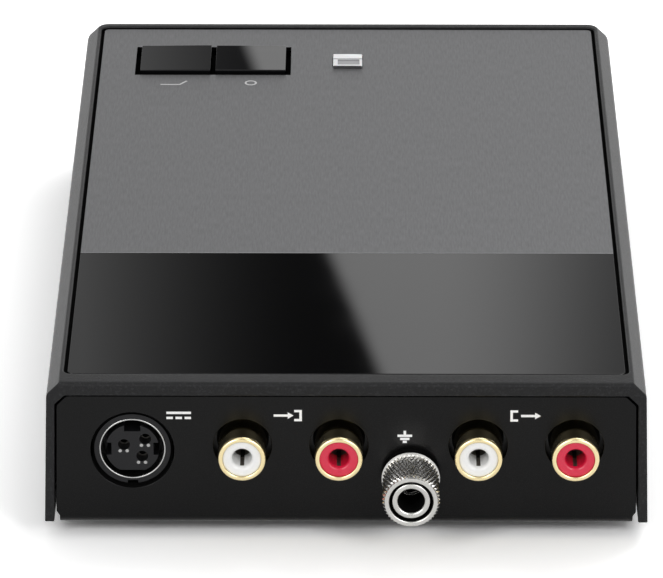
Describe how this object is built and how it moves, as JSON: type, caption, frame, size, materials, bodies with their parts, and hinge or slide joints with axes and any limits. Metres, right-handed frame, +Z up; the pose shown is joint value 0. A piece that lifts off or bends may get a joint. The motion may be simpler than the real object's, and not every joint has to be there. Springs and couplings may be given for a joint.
{
  "type": "phono preamp",
  "caption": "Low bevelled metal box with a brushed and a gloss top plate, push buttons and a lamp on top, and phono jacks, a round power socket and a ground post at the rear.",
  "frame": {"origin": "on the surface that the feet stand on, under the middle of the whole, the ground post's reach included", "axes": "+Z up, +Y towards the rear panel with the sockets, +X to the user's right when the rear panel faces away"},
  "size_m": [0.1036, 0.176, 0.0303],
  "materials": {
    "grey_cover_finish": "fine satin dark grey metallic coat",
    "black_panel_paint": "satin black powder coat",
    "brushed_plate": "brushed along its length, dark grey tint",
    "black_gloss_plate": "polished black",
    "black_rubber": "matt moulded",
    "black_steel": "black zinc plate",
    "bright_steel": "bright zinc plate",
    "nickel": "nickel plated brass",
    "tinned_copper": "tin plate",
    "black_moulding": "fine matt moulded",
    "black_gloss_moulding": "polished moulded",
    "white_moulding": "plain moulded",
    "blue_moulding": "plain moulded",
    "clear_lens": "clear with a milky core",
    "lamp_epoxy": "water clear epoxy",
    "gold_plate": "gold flash over nickel",
    "white_insulator": "polished moulded",
    "red_insulator": "polished moulded",
    "green_laminate": "solder resist over glass laminate",
    "red_moulding": "plain moulded",
    "navy_sleeve": "shrink sleeve",
    "black_sleeve": "shrink sleeve",
    "red_film_moulding": "plain moulded",
    "blue_resistor_coat": "lacquer",
    "cream_moulding": "plain moulded"
  },
  "bodies": {
    "enclosure": {"cover": "grey_cover_finish", "chassis": "black_panel_paint", "brushed_plate": "brushed_plate", "gloss_plate": "black_gloss_plate", "rubber_feet": "black_rubber", "cover_screws": "black_steel", "board_standoffs": "nickel", "board_screws": "bright_steel", "button_guide": "black_moulding", "filter_switch": "blue_moulding", "mono_switch": "blue_moulding", "filter_spring": "bright_steel", "mono_spring": "bright_steel", "indicator_lens": "clear_lens", "indicator_lamp": "lamp_epoxy", "power_socket": "black_moulding", "power_insert": "black_moulding", "power_shield": "nickel", "power_contacts": "nickel", "input_jack_block": "black_moulding", "output_jack_block": "black_moulding", "input_left_shell": "gold_plate", "input_right_shell": "gold_plate", "output_left_shell": "gold_plate", "output_right_shell": "gold_plate", "input_left_insulator": "white_insulator", "input_right_insulator": "red_insulator", "output_left_insulator": "white_insulator", "output_right_insulator": "red_insulator", "jack_contacts": "nickel", "ground_post": "nickel", "ground_lock_nut": "nickel", "ground_tag": "tinned_copper", "circuit_board": "green_laminate", "left_dip_case": "red_moulding", "right_dip_case": "red_moulding", "reservoir_capacitors": "navy_sleeve", "coupling_capacitors": "black_sleeve", "film_capacitors": "red_film_moulding", "op_amps": "black_moulding", "resistors": "blue_resistor_coat", "rectifier_diodes": "black_moulding", "regulators": "black_moulding", "relays": "cream_moulding"},
    "filter_button": {"filter_button": "black_gloss_moulding", "filter_plunger": "white_moulding"},
    "mono_button": {"mono_button": "black_gloss_moulding", "mono_plunger": "white_moulding"},
    "ground_washer": {"ground_washer": "nickel"},
    "ground_thumb_nut": {"ground_thumb_nut": "nickel"},
    "left_slider_1": {"left_slider_1": "white_moulding"},
    "left_slider_2": {"left_slider_2": "white_moulding"},
    "left_slider_3": {"left_slider_3": "white_moulding"},
    "left_slider_4": {"left_slider_4": "white_moulding"},
    "right_slider_1": {"right_slider_1": "white_moulding"},
    "right_slider_2": {"right_slider_2": "white_moulding"},
    "right_slider_3": {"right_slider_3": "white_moulding"},
    "right_slider_4": {"right_slider_4": "white_moulding"}
  },
  "joints": [
    {"name": "filter_press", "type": "slide", "parent": "enclosure", "child": "filter_button", "axis": [0, 0, -1], "range_m": [0, 0.0015], "stiffness_N_per_m": 600, "springref_m": -0.002, "deforming": ["filter_spring"]},
    {"name": "mono_press", "type": "slide", "parent": "enclosure", "child": "mono_button", "axis": [0, 0, -1], "range_m": [0, 0.0015], "stiffness_N_per_m": 600, "springref_m": -0.002, "deforming": ["mono_spring"]},
    {"name": "washer_slide", "type": "slide", "parent": "enclosure", "child": "ground_washer", "axis": [0, 1, 0], "range_m": [0, 0.0028]},
    {"name": "thumb_nut_turn", "type": "hinge", "parent": "ground_washer", "child": "ground_thumb_nut", "pos_m": [-0.01105, 0.0835, 0.0125], "axis": [0, 1, 0], "range_deg": [0, 1261]},
    {"name": "left_slider_1_slide", "type": "slide", "parent": "enclosure", "child": "left_slider_1", "axis": [0, 1, 0], "range_m": [0, 0.0014]},
    {"name": "left_slider_2_slide", "type": "slide", "parent": "enclosure", "child": "left_slider_2", "axis": [0, 1, 0], "range_m": [0, 0.0014]},
    {"name": "left_slider_3_slide", "type": "slide", "parent": "enclosure", "child": "left_slider_3", "axis": [0, 1, 0], "range_m": [0, 0.0014]},
    {"name": "left_slider_4_slide", "type": "slide", "parent": "enclosure", "child": "left_slider_4", "axis": [0, 1, 0], "range_m": [0, 0.0014]},
    {"name": "right_slider_1_slide", "type": "slide", "parent": "enclosure", "child": "right_slider_1", "axis": [0, 1, 0], "range_m": [0, 0.0014]},
    {"name": "right_slider_2_slide", "type": "slide", "parent": "enclosure", "child": "right_slider_2", "axis": [0, 1, 0], "range_m": [0, 0.0014]},
    {"name": "right_slider_3_slide", "type": "slide", "parent": "enclosure", "child": "right_slider_3", "axis": [0, 1, 0], "range_m": [0, 0.0014]},
    {"name": "right_slider_4_slide", "type": "slide", "parent": "enclosure", "child": "right_slider_4", "axis": [0, 1, 0], "range_m": [0, 0.0014]}
  ],
  "couplings": [
    {"joint": "thumb_nut_turn", "follows": "washer_slide", "rad_per_m": 7854}
  ]
}
